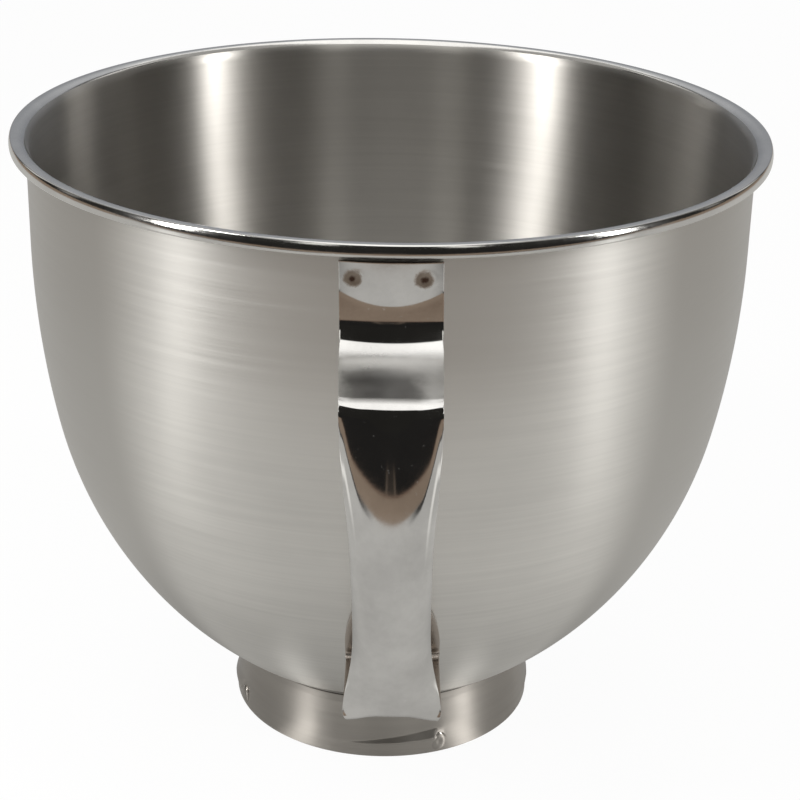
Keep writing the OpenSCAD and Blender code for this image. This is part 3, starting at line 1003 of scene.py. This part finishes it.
def build_world():
    """White behind the bowl; a dark room with a pale ceiling for the metal to reflect."""
    world = bpy.data.worlds.new("studio")
    world.use_nodes = True
    nodes = Nodes(world.node_tree)
    out = nodes.add("ShaderNodeOutputWorld")
    path = nodes.add("ShaderNodeLightPath")
    x, y, z = nodes.split(nodes.add("ShaderNodeTexCoord").outputs["Generated"])
    up = nodes.times(nodes.math("ARCSINE", z), 180 / math.pi)
    bearing = bearing_of(nodes, x, y)
    bearings, soft, color = SHOULDER
    shoulder = nodes.times(nodes.band(bearing, bearings, soft),
                           nodes.remap(up, 17.0, 21.0, 0.0, 1.0, True))
    tone = nodes.mix(shoulder, ROOM_TONE, color)
    raised = nodes.remap(up, 0.0, 6.0, 0.0, 1.0, True)
    for bearings, soft, color in STRIPS:
        tone = nodes.mix(nodes.times(nodes.band(bearing, bearings, soft), raised), tone, color)
    back = nodes.mix(nodes.remap(up, 0.0, 60.0, 0.0, 1.0, True), BACK_LOW, BACK_MIDDLE)
    back = nodes.mix(nodes.remap(up, 44.0, 48.0, 0.0, 1.0, True), back, BACK_HIGH)
    tone = nodes.mix(nodes.remap(bearing, 138.0, 146.0, 0.0, 1.0, True), tone, back)
    across = nodes.math("DIVIDE", x, nodes.math("MAXIMUM", z, 0.05))
    box = nodes.remap(nodes.math("ABSOLUTE", across), 0.22, 0.28, 1.0, 0.0, True)
    overhead = nodes.mix(box, CEILING_TONE, CEILING_BOX)
    room = nodes.mix(nodes.remap(up, 49.0, 52.0, 0.0, 1.0, True), tone, overhead)
    mixed = nodes.blend(path.outputs["Is Camera Ray"], nodes.glow("ShaderNodeBackground", room),
                        nodes.glow("ShaderNodeBackground", WHITE))
    nodes.join(mixed.outputs[0], out.inputs[0])
    bpy.context.scene.world = world


LAMP_TONE = (1.0, 0.985, 0.96)
LAMP_AIM = Vector((0, 0, 0.1))


def soft_box(name, bearing, distance, height, wide, tall, power):
    """A rectangular studio lamp aimed at the bowl; bearing in degrees from the camera side."""
    lamp = bpy.data.lights.new(name, "AREA")
    lamp.shape = "RECTANGLE"
    lamp.size = wide
    lamp.size_y = tall
    lamp.energy = power
    lamp.color = LAMP_TONE
    holder = bpy.data.objects.new(name, lamp)
    a = math.radians(bearing)
    holder.location = (math.sin(a) * distance, -math.cos(a) * distance, height)
    aim = LAMP_AIM - holder.location
    holder.rotation_euler = aim.to_track_quat("-Z", "Y").to_euler()
    holder.visible_camera = False
    bpy.context.collection.objects.link(holder)


def build_lights():
    """A near lamp on the left and a far one on the right, for the two bright bands."""
    soft_box("left_box", bearing=-59, distance=0.55, height=0.46, wide=0.09, tall=0.56, power=2.7)
    soft_box("right_box", bearing=65.7, distance=2.4, height=1.10, wide=0.28, tall=1.8, power=29.0)


CAMERA_AT = (0, -0.5569, 0.3364)
CAMERA_YAW = -0.0072
CAMERA_TILT = -0.4055
CAMERA_ROLL = -0.0214


def build_camera():
    """The photograph's camera: place, tilt and a 90 mm lens."""
    camera = bpy.data.cameras.new("view")
    camera.sensor_fit = "HORIZONTAL"
    camera.sensor_width = 36.0
    camera.lens = 90.0
    camera.clip_start = 0.01
    holder = bpy.data.objects.new("view", camera)
    turn = (Matrix.Rotation(CAMERA_YAW, 4, "Z") @ Matrix.Rotation(CAMERA_TILT, 4, "X")
            @ Matrix.Rotation(CAMERA_ROLL, 4, "Y") @ Matrix.Rotation(math.pi / 2, 4, "X"))
    holder.matrix_world = Matrix.Translation(CAMERA_AT) @ turn
    bpy.context.collection.objects.link(holder)
    bpy.context.scene.camera = holder


build_camera()
build_world()
build_lights()
build_stage()
outside_steel = brushed_metal("satin_outside", (0.74, 0.73, 0.705), rough=0.37, rough_spread=0.04,
                              spin_share=0.68, line_depth=0.00001, neck_shade=0.9)
inside_steel = brushed_metal("satin_inside", (0.54, 0.525, 0.50), rough=0.39, rough_spread=0.05,
                             spin_share=1.0, line_depth=0.000006)
rim_steel = polished_metal("polished_rim", (0.66, 0.655, 0.64), rough=0.14, rough_spread=0.04)
foot_steel = half_polished("half_polished_foot", (0.58, 0.55, 0.515), rough=0.5,
                           rough_spread=0.05, spin_share=0.93, line_depth=0.00001)
build_bowl(outside_steel, inside_steel, rim_steel)
build_foot(foot_steel)
build_handle(handle_metal())
bpy.context.scene.view_settings.view_transform = "Standard"
